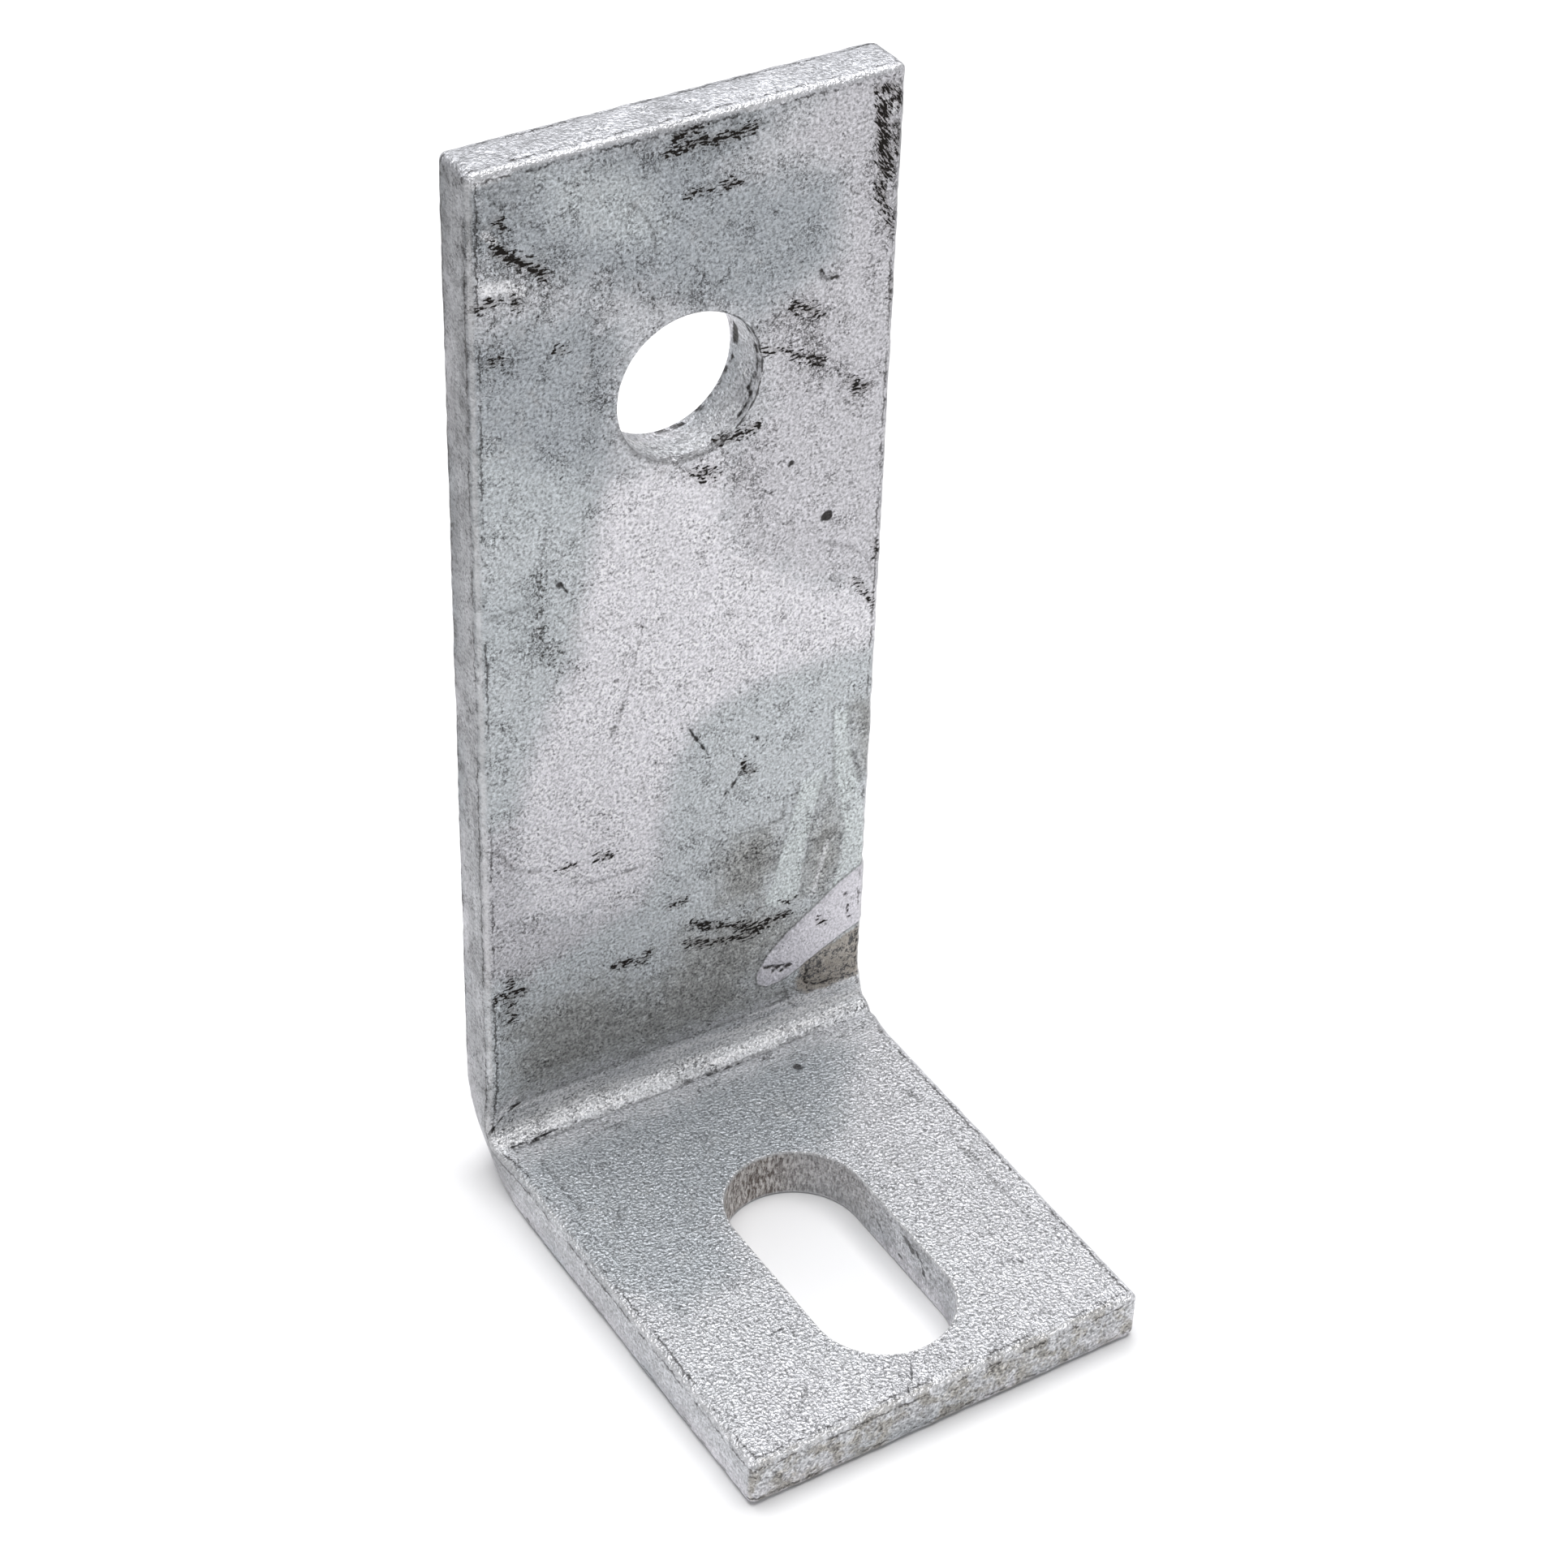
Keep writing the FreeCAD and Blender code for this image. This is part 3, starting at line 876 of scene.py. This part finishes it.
# broad clouds of the same tones over the outer faces
cloud = spot.noise(0.07, 2, 0.5, (2, 5, 1)) + (mottle - 0.5) * 0.35 + (grit - 0.5) * 0.1
light_tone = mixed(cloud.step(0.52, 0.66), lavender_zinc, pale_zinc)
outer_tone = mixed(cloud.step(0.38, 0.56), blue_zinc, light_tone)
outer_skin = through.step(inner_face + 2, high.y - 0.5)
colour = mixed(outer_skin * 0.7, colour, outer_tone)

# the skin over the fold is drawn out in fine lines along it, and the band is painted near white,
# most in its upper part: partly the drawn skin and partly a painted highlight
drawn = spot.noise(1.0, 3, 0.6, (3, 1, 5), stretch=(0.12, 1, 1))
fold_streaks_and_highlight = mixed(drawn.step(0.34, 0.64), srgb(212, 214, 217), srgb(250, 250, 252))
fold_skin_and_highlight = up_bar.step(8.0, 6.8) * up_bar.step(1.2, 2.2) * (0.25 + up_bar.step(1.5, 6.0) * 0.6)
colour = mixed(fold_skin_and_highlight * through.step(inner_face + 1.5, inner_face), colour, fold_streaks_and_highlight)
# bright lines where the zinc stands up, partly pale zinc and partly painted glints, and the smooth
# run
light = (painted("light") + (grit - 0.5) * 1.4 + (fleck - 0.5) * 0.8).step(-0.5, 0.6)
colour = mixed(light * 0.85, colour, srgb(244, 244, 247))
run_field = painted("run")
run_skin = run_field.step(-0.12, 0.12)
colour = mixed(run_skin, colour, run_zinc)
calm = (1 - run_skin * 0.45) * (1 - outer_skin * 0.35)

# the rolled sides and sheared ends took a streaky coat, the ends a duller one, and the sides are
# painted darker, most near the top and least on the foot: painted shade
side = skin.maths("ABSOLUTE", across).step(bar_width / 2 - 0.8, bar_width / 2 - 0.2)
streak = spot.noise(0.9, 3, 0.6, (6, 3, 5), stretch=(1, 1.3, 0.08))
side_shade = 0.36 + up_bar.step(30, 100) * 0.17 - on_the_foot * 0.31
side_mottle = (
    (streak - 0.5) * 0.4 + (patchy - 0.5) * 0.5 + (mottle - 0.5) * 0.9 + (pebble - 0.5) * 0.5)
colour = shaded(colour, 1 - side * (side_shade + side_mottle))
toe = up_bar.step(blank_toe + 0.8, blank_toe + 0.3)
brown = (patchy * 0.6 + mottle * 0.4).step(0.45, 0.58) * 0.75 + 0.1
colour = mixed(toe * brown, colour, srgb(174, 170, 163))
colour = shaded(colour, 1 + toe * ((pebble - 0.5) * 0.9 + (grit - 0.5) * 0.5))
top_end = up_bar.step(blank_top - 0.8, blank_top - 0.3)
colour = mixed(top_end * 0.9, colour, srgb(194, 195, 200))
top_mottle = (patchy - 0.5) * 1.5 + (mottle - 0.5) * 0.8 + across * 0.0035
colour = shaded(colour, 1 + top_end * top_mottle)

# the grain: small dark pits in a lighter skin, where the coat alloyed through
pitted = 0.5 + (patchy - 0.35).at_least(0) * 2.5
pits = ((dust - 0.5) * 3.5).at_most(0.24) * pitted * (1 - on_the_foot) * (1 - top_end * 0.7)
speck = (pebble - 0.5) * 1.35
sand = (dust - 0.5) * 2.7 * on_the_foot
grain = pits + sand + speck + (grit - 0.5) * 0.2
colour = shaded(colour, 0.97 + on_the_foot * 0.08 + grain * calm)
colour = shaded(colour, 1 - rough_coat * (fleck + grit - 1) * 1.2)

# dross: thin dark worms and specks, thickest where the coat is rough
dross_here = painted("dross") * 0.5 + 0.5 + toe * 0.5
dross_coat = patchy + dross_here * 0.20 - run_skin * 0.3 - on_the_foot * 0.08
dross_coat = dross_coat - painted("pale").step(-1, 1) * 0.06
worm = near(spot.noise(1.2, 3, 0.8, (2, 6, 3)), 0.5, 0.006, 0.03) * dross_coat.step(0.52, 0.68)
dross_speck = (fleck + dross_here * 0.10 + (dross_coat - 0.5) * 0.25).step(0.69, 0.75)
dross = (worm * 0.8 + dross_speck).at_most(1)
colour = mixed(dross * 0.75, colour, scuff_brown)

# scuffs and the rough spot by the run: strokes of dark scale, slanted along the right edge
slant = across.step(15, 16.5) * up_bar.step(86, 90)
stroke_place = skin.node("ShaderNodeCombineXYZ", None, {
    0: across * (0.42 + slant * 0.2), 1: through, 2: up_bar * 1.3 + (across - 18) * slant * 1.5})
flakes = stroke_place.noise(3.6, 2, 0.65, (7, 7, 7)) + (fleck - 0.5) * 0.3
scuff_field = painted("scuff")
scuff = (scuff_field * 0.18 + flakes).step(0.55, 0.585) * scuff_field.step(-0.9, -0.4)
colour = mixed(scuff_field.step(-0.5, 0.9) * 0.35, colour, srgb(112, 102, 94))
colour = mixed(scuff, colour, scuff_brown)
rust_field = painted("rust") + warp * 0.5
rusty = mixed((grit * 0.4 + fleck * 0.6).step(0.43, 0.52), srgb(38, 30, 24), srgb(176, 168, 158))
colour = mixed(rust_field.step(-0.5, 0.2) * (1 - run_skin) * 0.85, colour, rusty)
# the crack and faint fields also hold painted shade along the fold's crease
dark_cracks_and_crease_shade = (painted("crack") + (grit - 0.5) * 1.1).step(-0.1, 0.25)
colour = mixed(dark_cracks_and_crease_shade * (0.95 - on_the_foot * 0.2), colour, scuff_brown)
faint = (painted("faint") + (grit - 0.5) * 1.6).step(-0.4, 0.6)
run_edge = near(run_field, -0.2, 0.05, 0.3)
speckle = (painted("speckle") * 0.14 + fleck).step(0.6, 0.66)
thin_marks = (faint * 0.5 + run_edge * 0.4 + speckle * 0.7).at_most(1)
colour = mixed(thin_marks, colour, srgb(60, 58, 56))

# dirt lies in a ragged line beside each arris, and the arris itself is painted bright, partly
# rubbed zinc and partly a painted highlight, as are the rims of the hole and the slot, the slot's
# most
edge = painted("edge")
ragged = edge + (grit - 0.5) * 0.5 + (fleck - 0.5) * 0.35
grime = near(ragged, 0.45, 0.02, 0.11) * (streak + patchy - 0.5).step(0.39, 0.57)
colour = mixed(grime * 0.75, colour, scuff_brown)
rubbed_and_highlit = (edge + (grit - 0.5) * 0.4).step(0.55, 0.85) * 0.5
rubbed_and_highlit = rubbed_and_highlit.at_least(painted("rim").step(0.35, 0.75) * (0.1 + on_the_foot * 0.6))
colour = mixed(rubbed_and_highlit, colour, srgb(238, 238, 240))

# punched walls: torn streaks through the bar, brown at the slot's rear end
wall = painted("wall")
tear = spot.noise(3.8, 3, 0.75, (3, 3, 7), stretch=(1, 0.28, 1))
rear = up_bar.step(-foot_drop + 2, -foot_drop + 8) * up_bar.step(10, 0)
# the hole's wall is painted lighter low down, where it faces up, and darker high up, and the slot's
# walls a little darker: painted light and shade
hole_wall_light_and_shade = (up_bar.step(hole_height + 5, hole_height - 5) * 0.24 - 0.12) * (1 - on_the_foot)
torn = mixed(tear.step(0.38, 0.62), srgb(112, 101, 95), srgb(234, 230, 227))
colour = mixed(wall * rear * (1 - rubbed_and_highlit) * (1 - across.step(0, 6) * 0.6), colour, torn)
streaked = ((tear - 0.5) * 0.9 + (patchy - 0.5) * 1.2) * (1 - rear) + (fleck - 0.5) * 0.6
colour = shaded(colour, 1 + wall * (streaked + hole_wall_light_and_shade - on_the_foot * 0.08))

zinc.node_tree.links.new(colour.socket, shader.inputs["Base Color"])
roughness = (
    0.44 + rough_coat * 0.08 + (grit - 0.5) * 0.2 + scuff * 0.2 - rubbed_and_highlit * 0.1
    - on_the_foot * 0.04
)
zinc.node_tree.links.new(roughness.socket, shader.inputs["Roughness"])
shader.inputs["Metallic"].default_value = 0.75
bump_size = 0.28 * MM
bump_height = (
    (grit * 0.3 + dust * 0.35 + pebble * (0.4 + on_the_foot * 0.7 + rough_coat * 0.3)) * calm
    - scuff * 0.3 - dark_cracks_and_crease_shade * 0.7 - dross * 0.4 - faint * 0.4 + tear * wall * 0.6
)
bump = skin.node("ShaderNodeBump", None, {
    "Strength": 1.0, "Distance": bump_size, "Height": bump_height})
zinc.node_tree.links.new(bump.socket, shader.inputs["Normal"])

modifier = bracket.modifiers.new("fold", "NODES")
modifier.node_group = tree
for item in tree.interface.items_tree:
    if item.name in fold_sizes:
        modifier[item.identifier] = fold_sizes[item.name]
    if item.name == "Zinc":
        modifier[item.identifier] = zinc
state = bpy.context.evaluated_depsgraph_get()
bracket.data = bpy.data.meshes.new_from_object(
    bracket.evaluated_get(state), preserve_all_data_layers=True, depsgraph=state)
bracket.modifiers.clear()

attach(bracket, "root")
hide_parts("angle_bracket")

# The floor, light and camera
# A plain white sweep under a broad soft light, with the camera to the left, in front and above.
floor_half = 3.0
floor_mesh = bpy.data.meshes.new("floor")
floor_mesh.from_pydata(
    [(-floor_half, -floor_half, 0), (floor_half, -floor_half, 0),
     (floor_half, floor_half, 0), (-floor_half, floor_half, 0)], [], [(0, 1, 2, 3)])
floor = bpy.data.objects.new("floor", floor_mesh)
bpy.context.scene.collection.objects.link(floor)
paper = bpy.data.materials.new("white_paper")
paper.use_nodes = True
paper_shader = paper.node_tree.nodes["Principled BSDF"]
paper_shader.inputs["Base Color"].default_value = (0.90, 0.90, 0.91, 1)
paper_shader.inputs["Roughness"].default_value = 0.9
floor_mesh.materials.append(paper)

softbox = bpy.data.objects.new("softbox", bpy.data.lights.new("softbox", "AREA"))
softbox.data.shape = "RECTANGLE"
softbox.data.size = 0.7
softbox.data.size_y = 0.7
softbox.data.energy = 7.8
softbox.location = (0.05, 0.12, 0.75)
softbox.rotation_euler = (math.radians(-8), 0, 0)
bpy.context.scene.collection.objects.link(softbox)

camera_target = Vector((0.8, 12.9, 48.48)) * MM
camera_azimuth = math.radians(-33.084)
camera_elevation = math.radians(37.513)
camera_roll = math.radians(2.086)
camera_distance = 310.07 * MM

camera = bpy.data.objects.new("camera", bpy.data.cameras.new("camera"))
bpy.context.scene.collection.objects.link(camera)
bpy.context.scene.camera = camera
camera.data.sensor_width = 36.0
camera.data.lens = 84.59
away = Vector((
    math.sin(camera_azimuth) * math.cos(camera_elevation),
    -math.cos(camera_azimuth) * math.cos(camera_elevation),
    math.sin(camera_elevation),
))
camera.location = camera_target + away * camera_distance
camera.rotation_mode = "QUATERNION"
level = away.to_track_quat("Z", "Y")
camera.rotation_quaternion = level @ Quaternion((0, 0, 1), camera_roll)

world = bpy.data.worlds.new("studio")
bpy.context.scene.world = world
world.use_nodes = True
sky = world.node_tree.nodes["Background"]
sky.inputs["Color"].default_value = (1, 1, 1, 1)
sky.inputs["Strength"].default_value = 0.33
bpy.context.scene.view_settings.view_transform = "Standard"
